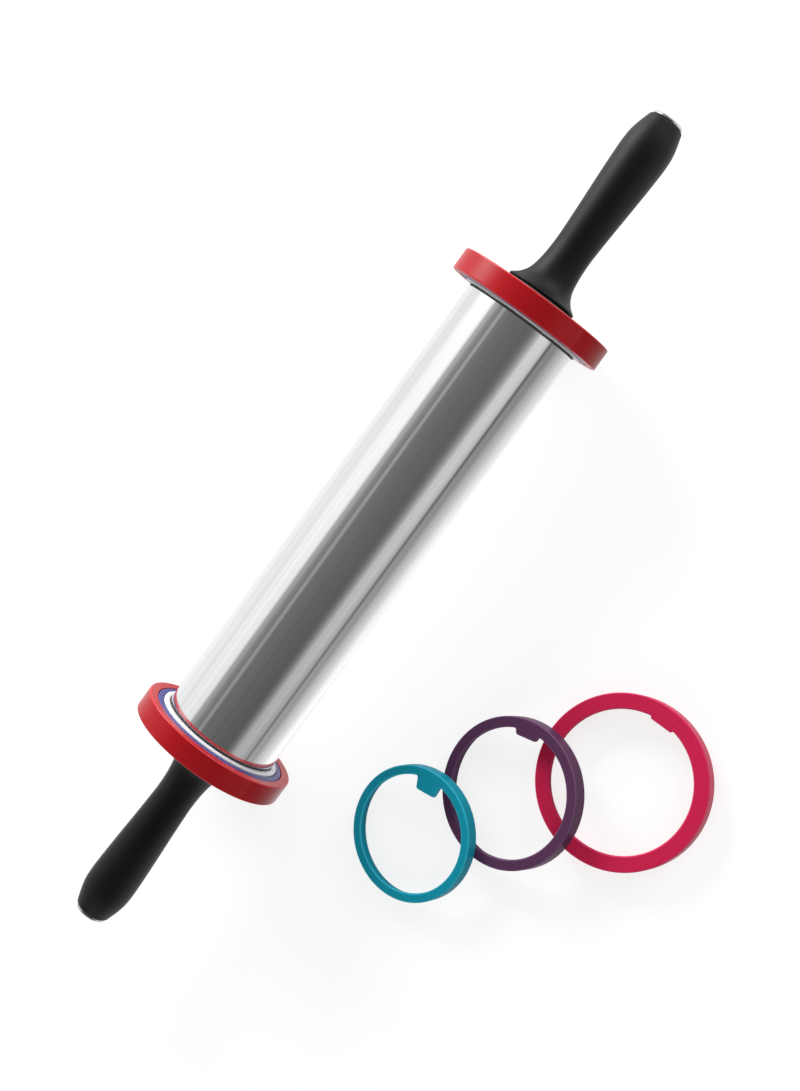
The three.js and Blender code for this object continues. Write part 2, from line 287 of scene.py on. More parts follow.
def turned(name, outline, side, around, poles=False):
    """A body of revolution about the pin: each outline point of radius and distance goes round in a circle.

    x is the side times the distance, and y and z are the axis plus the radius times the cosine and
    sine of the turn.
    """
    outline = np.asarray(outline, float).reshape(-1, 2)
    turn = turns_round(around)
    radius = outline[:, :1]
    x = np.broadcast_to(AXIS[0] + side * outline[:, 1:2], (len(outline), around))
    y = AXIS[1] + radius * np.cos(turn)
    z = AXIS[2] + radius * np.sin(turn)
    return skin(name, np.stack([x, y, z], -1), poles)


def place(piece, material, node):
    """Gives a finished piece its material and lets it stand for a CAD node on that node's body."""
    piece.data.materials.append(material)
    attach(piece, frame["nodes"][node]["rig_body"])
    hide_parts(node)


# Shaders

MIX_FIRST_COLOUR, MIX_SECOND_COLOUR, MIX_COLOUR_OUT = 6, 7, 2


def tinted(colour, factor, lift=0.0):
    """A colour made lighter or darker by a factor and a lift, with full opacity."""
    return tuple(min(1.0, c * factor + lift) for c in tuple(colour)[:3]) + (1.0,)


class Value:
    """A number socket: Python expressions on it add Math nodes."""

    def __init__(self, finish, socket):
        self.finish = finish
        self.socket = socket

    def maths(self, operation, *terms):
        """A Math node of an operation on its terms."""
        node = self.finish.node("ShaderNodeMath", dict(enumerate(terms)), operation=operation)
        return Value(self.finish, node.outputs[0])

    def __add__(self, other):
        return self.maths("ADD", self, other)

    def __radd__(self, other):
        return self.maths("ADD", other, self)

    def __sub__(self, other):
        return self.maths("SUBTRACT", self, other)

    def __rsub__(self, other):
        return self.maths("SUBTRACT", other, self)

    def __mul__(self, other):
        return self.maths("MULTIPLY", self, other)

    def __rmul__(self, other):
        return self.maths("MULTIPLY", other, self)

    def __truediv__(self, other):
        return self.maths("DIVIDE", self, other)

    def larger(self, other):
        """The larger of two numbers."""
        return self.maths("MAXIMUM", self, other)


class Finish:
    """The nodes of a material or of the world, and the methods that add to them."""

    def __init__(self, owner):
        self.owner = owner
        owner.use_nodes = True
        self.tree = owner.node_tree
        self.tree.nodes.clear()

    def node(self, kind, sockets=None, **settings):
        """Adds a node, sets its settings, then gives its sockets values or links."""
        node = self.tree.nodes.new(kind)
        for name, value in settings.items():
            if name == "stops":
                self.set_stops(node.color_ramp, value)
            else:
                setattr(node, name, value)
        for name, value in (sockets or {}).items():
            source = value.socket if isinstance(value, Value) else value
            if isinstance(source, bpy.types.NodeSocket):
                self.tree.links.new(source, node.inputs[name])
            else:
                node.inputs[name].default_value = source
        return node

    @staticmethod
    def set_stops(ramp, stops):
        """Puts stops of place and grey level into a colour ramp."""
        while len(ramp.elements) < len(stops):
            ramp.elements.new(1.0)
        for element, (position, level) in zip(ramp.elements, stops):
            element.position = position
            element.color = (level, level, level, 1.0)

    def value(self, node, output=0):
        """A node's output as a value that expressions can use."""
        return Value(self, node.outputs[output])

    def here(self):
        """Object coordinates in metres."""
        return self.node("ShaderNodeTexCoord").outputs["Object"]

    def noise(self, scale, detail=2.0, stretch=(1.0, 1.0, 1.0)):
        """Smooth noise from 0 to 1 with scale times stretch blobs to the metre along each axis."""
        mapping = self.node("ShaderNodeMapping", {"Vector": self.here(), "Scale": stretch})
        texture = self.node(
            "ShaderNodeTexNoise", {"Vector": mapping.outputs[0], "Scale": scale, "Detail": detail}
        )
        return self.value(texture)

    def blend(self, share, first, second):
        """A colour between two colours by a share."""
        sockets = {"Factor": share, MIX_FIRST_COLOUR: first, MIX_SECOND_COLOUR: second}
        return self.node("ShaderNodeMix", sockets, data_type="RGBA").outputs[MIX_COLOUR_OUT]

    def uneven(self, share, colour, darkest, lightest):
        """A colour that goes by a share from its darkest tint to its lightest."""
        return self.blend(share, tinted(colour, darkest), tinted(colour, lightest))

    def bump(self, height, depth):
        """A normal from a height of 0 to 1 that is depth metres deep."""
        sockets = {"Height": height, "Distance": depth, "Strength": 1.0}
        return self.node("ShaderNodeBump", sockets).outputs[0]

    def close(self, sockets):
        """Adds the surface shader with its sockets and the output."""
        shader = self.node("ShaderNodeBsdfPrincipled", sockets)
        self.node("ShaderNodeOutputMaterial", {"Surface": shader.outputs[0]})
        return self.owner


# Finishes

def new_finish(name):
    """An empty material to add nodes to."""
    return Finish(bpy.data.materials.new(name))


def polished_steel(finishes):
    """Mirror-bright tube: lengthwise polishing lines and faint smudges vary the roughness."""
    finish = new_finish("polished_steel")
    lines = finish.noise(scale=1400.0, detail=3.0, stretch=(0.012, 1.0, 1.0))
    smudge = finish.noise(scale=22.0, detail=3.0)
    return finish.close(
        {
            "Base Color": finish.uneven(smudge, finishes.steel, 0.96, 1.02),
            "Metallic": 1.0,
            "Roughness": finishes.polish + 0.035 * lines + 0.04 * smudge,
            "Normal": finish.bump(lines, depth=0.002 * MM),
        }
    )


def chromed_metal(finishes):
    """Polished cap, a little greyer than the barrel so that its edge shows on white."""
    finish = new_finish("chromed_cap")
    wear = finish.noise(scale=260.0, detail=3.0)
    return finish.close(
        {
            "Base Color": finish.uneven(wear, finishes.steel, 0.56, 0.68),
            "Metallic": 1.0,
            "Roughness": 0.08 + 0.1 * wear,
        }
    )


def turned_steel(finishes):
    """Plain turned steel with fine rings of the tool across its length."""
    finish = new_finish("turned_steel")
    cuts = finish.noise(scale=900.0, detail=2.0, stretch=(1.0, 0.04, 0.04))
    stain = finish.noise(scale=70.0, detail=3.0)
    return finish.close(
        {
            "Base Color": finish.uneven(stain, finishes.steel, 0.55, 0.72),
            "Metallic": 1.0,
            "Roughness": 0.24 + 0.12 * cuts + 0.08 * stain,
            "Normal": finish.bump(cuts, depth=0.02 * MM),
        }
    )


def moulded_plastic(name, colour, roughness, gloss=0.4):
    """Satin moulded plastic: a fine spark-eroded grain in the surface and slightly uneven colour.

    Where a piece has the attribute rounded_edge, a painted highlight tints its rounded edges lighter.
    """
    finish = new_finish(name)
    grain = finish.noise(scale=3200.0)
    flow = finish.noise(scale=35.0)
    edge = finish.node("ShaderNodeAttribute", attribute_name="rounded_edge")
    body = finish.uneven(flow, colour, 0.94, 1.05)
    # painted highlight: a lighter tint of the colour on the rounded edges, standing for the light they
    # catch
    painted_highlight = tinted(colour, 1.5, lift=0.04)
    return finish.close(
        {
            "Base Color": finish.blend(finish.value(edge, "Fac"), body, painted_highlight),
            "Roughness": roughness - 0.04 + 0.08 * grain + 0.05 * flow,
            "Specular IOR Level": gloss,
            "Normal": finish.bump(grain, depth=0.012 * MM),
        }
    )


def black_plastic(finishes):
    """Black moulding of the plugs, the collars and the cores of the handles."""
    return moulded_plastic("black_plastic", finishes.hard_black, roughness=0.42)


def natural_nylon(finishes):
    """Off-white nylon of the bushes."""
    return moulded_plastic("nylon", finishes.nylon, roughness=0.45)


def soft_grip(finishes):
    """Soft-touch black rubber skin: matt, with a fine grain and faint handling marks."""
    finish = new_finish("soft_black_grip")
    grain = finish.noise(scale=2600.0, detail=3.0)
    handled = finish.noise(scale=45.0, detail=3.0)
    return finish.close(
        {
            "Base Color": finish.uneven(handled, finishes.grip, 0.85, 1.2),
            "Roughness": 0.38 + 0.1 * grain + 0.1 * handled,
            "Specular IOR Level": 0.23,
            "Normal": finish.bump(grain, depth=0.02 * MM),
        }
    )


def seal_rubber(finishes):
    """Dull black rubber with a faint bloom."""
    finish = new_finish("seal_rubber")
    bloom = finish.noise(scale=500.0, detail=3.0)
    return finish.close(
        {
            "Base Color": finish.uneven(bloom, finishes.seal, 0.8, 1.4),
            "Roughness": 0.5 + 0.15 * bloom,
            "Normal": finish.bump(bloom, depth=0.01 * MM),
        }
    )


def shared(name, maker, *values):
    """The material of that name, made on first use."""
    return bpy.data.materials.get(name) or maker(*values)


# Thickness rings

def lip_line(lip, tip, sizes, half_count):
    """Inner edge of a ring seen along its axis: a circle with a finger tab, in the ring's own plane.

    u runs towards the tab and v across it. One half goes along the tab's tip, round its corner, down
    its side, round the fillet at its root, and along the circle to the far side; the other half is
    its mirror image. The side is drawn towards a root that lies a little inside the lip. Returns the
    points, the unit normals into the plastic, and for each point the turn about the centre that its
    outer points take, which never runs backwards.
    """
    root_depth = 1.0 * MM
    tip_points, arc_points, side_points = 4, 7, 5
    root = lip + root_depth
    slope = unit(np.array([root - tip, (sizes.tab_base - sizes.tab_tip) / 2]))
    out = np.array([-slope[1], slope[0]])
    side = np.array([tip, sizes.tab_tip / 2])
    corner = min(sizes.tab_corner, (lip - tip) / 2)
    fillet = min(sizes.tab_fillet, (lip - tip) / 3)
    middle = side - corner * out
    corner_centre = middle + slope * (tip + corner - middle[0]) / slope[0]
    shifted = side + fillet * out
    along = shifted @ slope
    travel = -along + math.sqrt(along**2 - shifted @ shifted + (lip - fillet) ** 2)
    fillet_centre = shifted + slope * travel
    root_turn = math.atan2(fillet_centre[1], fillet_centre[0])

    def arc(centre, radius, first, last, count):
        """Points on a circle from the first turn to the last."""
        turn = np.linspace(first, last, count)[:, None]
        return centre + radius * np.hstack([np.cos(turn), np.sin(turn)])

    side_turn = math.atan2(out[1], out[0])
    across_tip = np.linspace(0, corner_centre[1], tip_points)[:-1]
    tip_part = np.column_stack([np.full(len(across_tip), tip), across_tip])
    corner_part = arc(corner_centre, corner, math.pi, side_turn, arc_points)
    fillet_part = arc(fillet_centre, fillet, side_turn - math.pi, root_turn, arc_points)
    side_part = np.linspace(corner_part[-1], fillet_part[0], side_points)[1:-1]
    round_part = arc(np.zeros(2), lip, root_turn, math.pi, half_count)[1:]
    near = np.concatenate([tip_part, corner_part, side_part, fillet_part])
    half = np.concatenate([near, round_part])
    run = np.concatenate([[0], np.cumsum(np.linalg.norm(np.diff(near, axis=0), axis=1))])
    turns = np.concatenate([root_turn * run / run[-1], np.linspace(root_turn, math.pi, half_count)[1:]])
    mirrored = half[-2:0:-1] * [1, -1]
    points = np.concatenate([half, mirrored])
    turns = np.concatenate([turns, 2 * math.pi - turns[-2:0:-1]])
    ahead = unit(np.roll(points, -1, 0) - points)
    behind = unit(points - np.roll(points, 1, 0))
    tangent = unit(ahead + behind)
    normals = np.column_stack([tangent[:, 1], -tangent[:, 0]])
    return points, normals, turns


def thickness_ring(name, node, kind, sizes):
    """A thickness ring: its section is carried round the ring, and its inner edge follows the tab.

    The section is a band with a lip at the tab side, with rounded corners. Points of the band lie at
    their radius on the turn of their column; points of the lip's edge lie their offset into the
    plastic from the edge line. Both are moved along the axis by the section's height. The attribute
    rounded_edge, the share of a painted highlight on the rounded edges, rises as a sine over each
    rounded corner and is 0 on the flats.
    """
    half_count, bore_rounding, flat_share = 110, 0.3 * MM, 0.2
    spot = ring_place(node)
    bore, lip, tip = (getattr(sizes, kind)[k] for k in range(3))
    outer = spot["radius"]
    low, high = -spot["width"] / 2, spot["width"] / 2
    shelf = high - sizes.lip_thickness
    corners = [[bore, low], [outer, low], [outer, high], [lip, high], [lip, shelf], [bore, shelf]]
    rounding = [bore_rounding, sizes.edge_rounding, sizes.edge_rounding, sizes.lip_rounding]
    section = rounded_outline(corners, rounding + [bore_rounding, bore_rounding])
    edge, normals, turns = lip_line(lip, tip, sizes, half_count)
    outward = np.column_stack([np.cos(turns), np.sin(turns)])
    radius = section[:, :, 0, None, None]
    band = radius * outward
    rim = edge + (radius - lip) * normals
    on_lip = np.array([corner[0] == lip for corner in corners]).reshape(-1, 1, 1, 1)
    flat = np.where(on_lip, rim, band).reshape(-1, len(edge), 2)
    height = section[:, :, 1].reshape(-1, 1, 1)
    across = np.cross(spot["axis"], spot["tab"])
    grid = spot["centre"] + flat[..., :1] * spot["tab"] + flat[..., 1:] * across + height * spot["axis"]
    piece = skin(name, grid)
    over_corner = np.linspace(-flat_share, 1 + flat_share, section.shape[1])
    # share of the painted highlight: a sine over each rounded corner, 0 on the flats
    painted_highlight = np.sin(np.pi * np.clip(over_corner, 0, 1))
    share = np.repeat(np.tile(painted_highlight, len(corners)), len(edge))
    piece.data.attributes.new("rounded_edge", "FLOAT", "POINT").data.foreach_set("value", share)
    return piece


def make_rings(context, group, nodes, slots, roughness, gloss):
    """Makes the rings of a group, fitted or spare, each kind in a plastic of its own colour."""
    for kind, slot in slots.items():
        name = f"{group}_{kind}_ring_plastic"
        colour = getattr(context.scene.rolling_pin_finishes, f"{group}_{kind}")
        material = shared(name, moulded_plastic, name, colour, roughness, gloss)
        for node in nodes[kind]:
            piece = thickness_ring(f"{node}_moulding", node, kind, context.scene.rolling_pin_rings)
            place(piece, material, node)


# Sizes, colours and light that a user can change

def length_value(name, description, default):
    """A length property in metres, whose default is given in millimetres."""
    return bpy.props.FloatProperty(
        name=name, description=description, default=default * MM, min=0.0, unit="LENGTH", precision=5
    )


def colour_value(name, description, default):
    """A colour property from screen values of 0 to 255."""
    share = [c / 255 for c in default]
    linear = [c / 12.92 if c <= 0.04045 else ((c + 0.055) / 1.055) ** 2.4 for c in share]
    return bpy.props.FloatVectorProperty(
        name=name, description=description, default=linear, subtype="COLOR", size=3, min=0.0, max=1.0
    )


def section_value(name, default):
    """Three radii of a ring's section, given in millimetres."""
    return bpy.props.FloatVectorProperty(
        name=name,
        description="Radii of the bore, of the lip's inner edge and of the tab's tip",
        default=[d * MM for d in default],
        size=3,
        unit="LENGTH",
        precision=5,
    )


def angle_value(name, description, degrees):
    """An angle property, whose default is given in degrees."""
    return bpy.props.FloatProperty(
        name=name, description=description, default=math.radians(degrees), subtype="ANGLE"
    )


def power_value(name, description, default):
    """A lamp's power in watts."""
    return bpy.props.FloatProperty(name=name, description=description, default=default, min=0.0)


class RollingPinSizes(bpy.types.PropertyGroup):
    """Sizes of the pin's turned pieces."""

    around: bpy.props.IntProperty(
        name="Points Round", description="Points round the barrel, seals and grips", default=256, min=24
    )
    barrel_bore: length_value("Barrel Bore", "Radius inside the steel tube", 28.0)
    groove_radius: length_value("Groove Radius", "Radius at the floor of the seal's groove", 29.2)
    groove_start: length_value("Groove Start", "Distance of the groove's inner wall from the middle", 122.6)
    groove_end: length_value("Groove End", "Distance of the groove's outer wall from the middle", 123.8)
    edge: length_value("Barrel Edge", "Rounding of the barrel's end", 0.5)
    seal_section: length_value("Seal Section", "Radius of the seal's round section", 0.4)


class RollingPinRings(bpy.types.PropertyGroup):
    """Sizes of the thickness rings."""

    inner: section_value("Inner Ring", (30.3, 28.5, 21.5))
    middle: section_value("Middle Ring", (33.4, 30.9, 27.4))
    outer: section_value("Outer Ring", (36.6, 33.7, 32.0))
    lip_thickness: length_value("Lip Thickness", "Thickness of the lip and the tab", 2.0)
    edge_rounding: length_value("Edge Rounding", "Rounding of the ring's outer edges", 0.7)
    lip_rounding: length_value("Lip Rounding", "Rounding of the lip's inner edge on the tab side", 0.8)
    tab_base: length_value("Tab Base", "Width of the finger tab at its root", 14.5)
    tab_tip: length_value("Tab Tip", "Width of the finger tab at its tip", 11.0)
    tab_corner: length_value("Tab Corner", "Rounding of the tab's corners seen from the front", 1.5)
    tab_fillet: length_value("Tab Fillet", "Rounding where the tab meets the lip", 1.0)


class RollingPinFinishes(bpy.types.PropertyGroup):
    """Colours and polish."""

    steel: colour_value("Steel", "Colour of the steel", (242, 243, 244))
    polish: bpy.props.FloatProperty(
        name="Polish", description="Lowest roughness of the barrel", default=0.045, min=0.0, max=1.0
    )
    grip: colour_value("Grip", "Colour of the soft handles", (13, 13, 15))
    hard_black: colour_value("Hard Black", "Colour of the plugs, collars and cores", (22, 22, 24))
    seal: colour_value("Seal", "Colour of the rubber seals", (18, 18, 19))
    nylon: colour_value("Nylon", "Colour of the bushes", (226, 222, 210))
    fitted_inner: colour_value("Inner Ring", "Colour of the fitted inner rings", (245, 242, 247))
    fitted_middle: colour_value("Middle Ring", "Colour of the fitted middle rings", (48, 56, 132))
    fitted_outer: colour_value("Outer Ring", "Colour of the fitted outer rings", (192, 15, 27))
    spare_inner: colour_value("Spare Inner Ring", "Colour of the spare inner ring", (27, 168, 194))
    spare_middle: colour_value("Spare Middle Ring", "Colour of the spare middle ring", (101, 63, 98))
    spare_outer: colour_value("Spare Outer Ring", "Colour of the spare outer ring", (230, 44, 91))


class RollingPinStage(bpy.types.PropertyGroup):
    """Camera, lamps and the light of the room."""

    azimuth: angle_value("Azimuth", "Direction of the camera about the vertical", 17.133)
    elevation: angle_value("Elevation", "Height of the camera above the floor as an angle", 66.97)
    roll: angle_value("Roll", "Turn of the camera about its view", -69.554)
    distance: length_value("Distance", "Distance from the camera to the point it looks at", 749.6)
    lens: bpy.props.FloatProperty(
        name="Lens", description="Focal length in millimetres on a 36 mm sensor", default=51.27, min=1.0
    )
    key_power: power_value("Key Power", "Power of the large lamp behind the pin", 17.0)
    low_end_power: power_value("Low End Power", "Power of the soft lamp beyond the pin's -X end", 4.0)
    high_end_power: power_value("High End Power", "Power of the soft lamp beyond the pin's +X end", 8.0)
    room: bpy.props.FloatProperty(
        name="Room Light", description="Light of the white room on the object", default=0.22, min=0.0
    )


GROUPS = {
    "rolling_pin_sizes": RollingPinSizes,
    "rolling_pin_rings": RollingPinRings,
    "rolling_pin_finishes": RollingPinFinishes,
    "rolling_pin_stage": RollingPinStage,
}


# Floor, cards and lamps

FAR_CARDS = {"radius": 0.62, "reach": 1.6}
NEAR_CARDS = {"radius": 0.055, "reach": 0.17}


def stage_mesh(name, points, faces, material):
    """A flat or bent sheet of the stage from its points and faces."""
    mesh = bpy.data.meshes.new(name)
    mesh.from_pydata(points, [], faces)
    mesh.materials.append(material)
    sheet = add_object(name, mesh)
    return sheet


def seen_directly(finish):
    """1 for rays from the camera and for what metal and glass show, and 0 for the light on the object."""
    path = finish.node("ShaderNodeLightPath")
    camera, glossy, through = (
        finish.value(path, f"Is {kind} Ray") for kind in ("Camera", "Glossy", "Transmission")
    )
    return camera.larger(glossy.larger(through))


def floor_paper():
    """Pale paper that looks white to the camera and keeps the object's shadow.

    Away from the object the lamps' light falls off, so the white that the camera sees rises there,
    between two distances from the frame's origin in metres.
    """
    finish = new_finish("floor_paper")
    away = finish.node("ShaderNodeVectorMath", {0: finish.here()}, operation="LENGTH")
    white = finish.node(
        "ShaderNodeMapRange",
        {"Value": away.outputs["Value"], "From Min": 0.5, "From Max": 2.0, "To Min": 0.785, "To Max": 0.93},
        interpolation_type="SMOOTHSTEP",
    )
    lift = seen_directly(finish) * finish.value(white)
    return finish.close(
        {
            "Base Color": (0.38, 0.38, 0.38, 1.0),
            "Roughness": 1.0,
            "Specular IOR Level": 0.0,
            "Emission Color": finish.blend(lift, (0.0, 0.0, 0.0, 1.0), (1.0, 1.0, 1.0, 1.0)),
            "Emission Strength": 1.0,
        }
    )


def card_paint(name, levels, skew, gain, rise):
    """Grey levels across a card that is bent about the pin, by the angle from straight up.

    Angles count towards the near side. The skew turns the pattern a little along the pin: it moves
    each angle by its distance from 45 degrees on the far side, times the skew and x. The levels are
    multiplied by gain + rise * x, and by long thin streaks of noise that run along the card.
    """
    unmoved = -45
    streak_low, streak_range, streak_turns, streak_shifts = 0.78, 0.44, 0.17, 5
    finish = new_finish(name)
    parts = finish.node("ShaderNodeSeparateXYZ", {0: finish.here()})
    along = finish.value(parts, "X")
    sideways = float(AXIS[1]) - finish.value(parts, "Y")
    upwards = finish.value(parts, "Z") - float(AXIS[2])
    degrees = sideways.maths("ARCTAN2", sideways, upwards) * (180 / math.pi)
    degrees = degrees + (degrees - unmoved) * along * skew
    start, end = levels[0][0], levels[-1][0]
    stops = [((angle - start) / (end - start), level) for angle, level in levels]
    ramp = finish.node("ShaderNodeValToRGB", {"Fac": (degrees - start) / (end - start)}, stops=stops)
    strip = finish.node("ShaderNodeCombineXYZ", {"X": degrees, "Y": along * streak_shifts})
    streaks = finish.node(
        "ShaderNodeTexNoise",
        {"Vector": strip.outputs[0], "Scale": streak_turns, "Detail": 3.0, "Roughness": 0.6},
    )
    strength = (gain + rise * along) * (streak_low + streak_range * finish.value(streaks))
    emission = finish.node("ShaderNodeEmission", {"Color": ramp.outputs[0], "Strength": strength})
    finish.node("ShaderNodeOutputMaterial", {"Surface": emission.outputs[0]})
    return finish.owner


def glossy_only(sheet):
    """Lets a card be seen in reflections alone."""
    for kind in ("camera", "diffuse", "transmission", "volume_scatter", "shadow"):
        setattr(sheet, f"visible_{kind}", False)


def area_lamp(name, towards, distance, size, power):
    """A round soft lamp at a distance from the pin's middle, turned towards it."""
    direction = Vector(towards).normalized()
    lamp = bpy.data.lights.new(name, "AREA")
    lamp.shape = "DISK"
    lamp.size = size
    lamp.energy = power
    turn = direction.to_track_quat("Z", "Y").to_matrix().to_4x4()
    position = Matrix.Translation(Vector(AXIS) + direction * distance)
    add_object(name, lamp).matrix_world = position @ turn


# Operators

def disc_corners(node, side, bore):
    """Corners of a disc's section: from its bore to its node's radius, and between the node's two faces."""
    start, end = span_along(node, side)
    radius = radius_of(node)
    return [[bore, start], [radius, start], [radius, end], [bore, end]]


class ROLLING_PIN_OT_barrel(bpy.types.Operator):
    """Make the polished steel tube with its seal grooves"""

    bl_idname = "rolling_pin.barrel"
    bl_label = "Barrel"

    def execute(self, context):
        sizes = context.scene.rolling_pin_sizes
        bore_rounding, groove_rounding = 0.3 * MM, 0.12 * MM
        end = span_along("barrel", 1.0)[1]
        radius = radius_of("barrel")
        half = [
            [sizes.barrel_bore, end],
            [radius, end],
            [radius, sizes.groove_end],
            [sizes.groove_radius, sizes.groove_end],
            [sizes.groove_radius, sizes.groove_start],
            [radius, sizes.groove_start],
        ]
        other = [[r, -h] for r, h in reversed(half)]
        rounding = [bore_rounding, sizes.edge] + 4 * [groove_rounding]
        outline = rounded_outline(half + other, rounding + rounding[::-1], steps=4)
        piece = turned("barrel_tube", outline, 1.0, sizes.around)
        material = shared("polished_steel", polished_steel, context.scene.rolling_pin_finishes)
        place(piece, material, "barrel")
        return {"FINISHED"}


class ROLLING_PIN_OT_seals(bpy.types.Operator):
    """Make the rubber rings in the barrel's grooves"""

    bl_idname = "rolling_pin.seals"
    bl_label = "Seal Rings"

    def execute(self, context):
        sizes = context.scene.rolling_pin_sizes
        material = shared("seal_rubber", seal_rubber, context.scene.rolling_pin_finishes)
        section_points = 24
        turn = turns_round(section_points)
        # The section is a circle that touches the node's outer surface from inside
        for node, side in both("seal_ring"):
            centre = span_along(node, side).mean()
            middle = radius_of(node) - sizes.seal_section
            outline = np.column_stack(
                [middle + sizes.seal_section * np.cos(turn), centre + sizes.seal_section * np.sin(turn)]
            )
            place(turned(f"{node}_rubber", outline, side, sizes.around), material, node)
        return {"FINISHED"}


class ROLLING_PIN_OT_plugs(bpy.types.Operator):
    """Make the plugs that close the barrel and carry the bushes"""

    bl_idname = "rolling_pin.plugs"
    bl_label = "End Plugs"

    def execute(self, context):
        material = shared("black_plastic", black_plastic, context.scene.rolling_pin_finishes)
        bore, seat, hollow, boss = 7.6 * MM, 10.3 * MM, 10.8 * MM, 16.5 * MM
        seat_depth, wall, front = 1.8 * MM, 2.5 * MM, 3.0 * MM
        face = span_along("barrel", 1.0)[1]
        for node, side in both("end_plug"):
            start, end = span_along(node, side)
            shell = radius_of(node)
            corners = [
                [shell, start], [shell, face], [boss, face], [boss, end],
                [seat, end], [seat, end - seat_depth], [bore, end - seat_depth],
                [bore, start], [hollow, start], [hollow, face - front],
                [shell - wall, face - front], [shell - wall, start],
            ]
            rounding = np.array([0.3, 0.4, 0.8, 0.6, 0.3, 0.2, 0.2, 0.3, 0.3, 0.6, 0.6, 0.3]) * MM
            outline = rounded_outline(corners, rounding)
            piece = turned(f"{node}_moulding", outline, side, PLASTIC_AROUND)
            place(piece, material, node)
        return {"FINISHED"}


class ROLLING_PIN_OT_washers(bpy.types.Operator):
    """Make the thrust washers between the barrel and the handles"""

    bl_idname = "rolling_pin.washers"
    bl_label = "Thrust Washers"

    def execute(self, context):
        material = shared("turned_steel", turned_steel, context.scene.rolling_pin_finishes)
        bore, rounding = 5.3 * MM, 0.2 * MM
        for node, side in both("thrust_washer"):
            outline = rounded_outline(disc_corners(node, side, bore), rounding, steps=4)
            place(turned(f"{node}_disc", outline, side, METAL_AROUND), material, node)
        return {"FINISHED"}


class ROLLING_PIN_OT_collars(bpy.types.Operator):
    """Make the discs at the roots of the handles"""

    bl_idname = "rolling_pin.collars"
    bl_label = "Handle Collars"

    def execute(self, context):
        material = shared("black_plastic", black_plastic, context.scene.rolling_pin_finishes)
        rounding = np.array([0.2, 0.6, 0.6, 0.2]) * MM
        for node, side in both("handle_collar"):
            outline = rounded_outline(disc_corners(node, side, HANDLE_BORE), rounding)
            place(turned(f"{node}_disc", outline, side, PLASTIC_AROUND), material, node)
        return {"FINISHED"}


class ROLLING_PIN_OT_grips(bpy.types.Operator):
    """Make the soft handles, smooth through the CAD grip's outline"""

    bl_idname = "rolling_pin.grips"
    bl_label = "Grips"

    def execute(self, context):
        material = shared("soft_black_grip", soft_grip, context.scene.rolling_pin_finishes)
        around = context.scene.rolling_pin_sizes.around
        points_along = 260
        bore_rounding, root_rounding, tip_rounding = 0.3 * MM, 0.7 * MM, 1.1 * MM
        roundings = [bore_rounding, root_rounding, tip_rounding, bore_rounding]
        root_gap, tip_gap = 1.9 * root_rounding, 2.2 * tip_rounding
        for node, side in both("handle_grip"):
            # A smooth curve through the CAD outline, cut where the rounded corners of both ends take over
            stops = turned_outline(node, side)
            swell = smooth_line(stops, points_along)
            start, end = stops[0, 1], stops[-1, 1]
            kept = swell[(swell[:, 1] > start + root_gap) & (swell[:, 1] < end - tip_gap)]
            root, tip = [HANDLE_BORE, start], [HANDLE_BORE, end]
            corner = np.array([root, stops[0], stops[-1], tip])
            before = np.array([tip, root, kept[-1], stops[-1]])
            after = np.array([stops[0], kept[0], tip, root])
            arcs = corner_arcs(before, corner, after, roundings)
            outline = np.concatenate([arcs[0], arcs[1], kept, arcs[2], arcs[3]])
            place(turned(f"{node}_skin", outline, side, around), material, node)
        return {"FINISHED"}


class ROLLING_PIN_OT_caps(bpy.types.Operator):
    """Make the domed metal caps in the tips of the handles"""

    bl_idname = "rolling_pin.caps"
    bl_label = "Handle Caps"

    def execute(self, context):
        material = shared("chromed_cap", chromed_metal, context.scene.rolling_pin_finishes)
        spigot, spigot_length, rim = 5.0 * MM, 8.0 * MM, 0.9 * MM
        rounding = np.array([0.3, 0.2, 0.3]) * MM
        dome_lines = 20
        rise = np.linspace(0, math.pi / 2, dome_lines)[1:, None]
        for node, side in both("handle_cap"):
            start, end = span_along(node, side)
            radius = radius_of(node)
            seat = start + spigot_length
            # The dome is a quarter of an ellipse: its radius goes as the cosine, its height as the sine
            dome = np.hstack([radius * np.cos(rise), seat + rim + (end - seat - rim) * np.sin(rise)])
            dome[-1, 0] = 0.0
            corner = [[spigot, start], [spigot, seat], [radius, seat]]
            before = [[0.0, start], [spigot, start], [spigot, seat]]
            after = [[spigot, seat], [radius, seat], [radius, seat + rim]]
            arcs = corner_arcs(before, corner, after, rounding, steps=4)
            outline = np.concatenate([[[0.0, start]], arcs.reshape(-1, 2), dome])
            piece = turned(f"{node}_dome", outline, side, METAL_AROUND, poles=True)
            place(piece, material, node)
        return {"FINISHED"}


class ROLLING_PIN_OT_fitted_rings(bpy.types.Operator):
    """Make the three thickness rings at each end of the barrel"""

    bl_idname = "rolling_pin.fitted_rings"
    bl_label = "Fitted Rings"

    def execute(self, context):
        nodes = {kind: [f"{kind}_ring_{side}" for side in SIDES] for kind in FITTED_SLOTS}
        make_rings(context, "fitted", nodes, FITTED_SLOTS, roughness=0.28, gloss=0.3)
        return {"FINISHED"}


class ROLLING_PIN_OT_spare_rings(bpy.types.Operator):
    """Make the three spare thickness rings beside the pin"""

    bl_idname = "rolling_pin.spare_rings"
    bl_label = "Spare Rings"

    def execute(self, context):
        nodes = {kind: [f"spare_{kind}_ring"] for kind in SPARE_SLOTS}
        make_rings(context, "spare", nodes, SPARE_SLOTS, roughness=0.34, gloss=0.04)
        return {"FINISHED"}


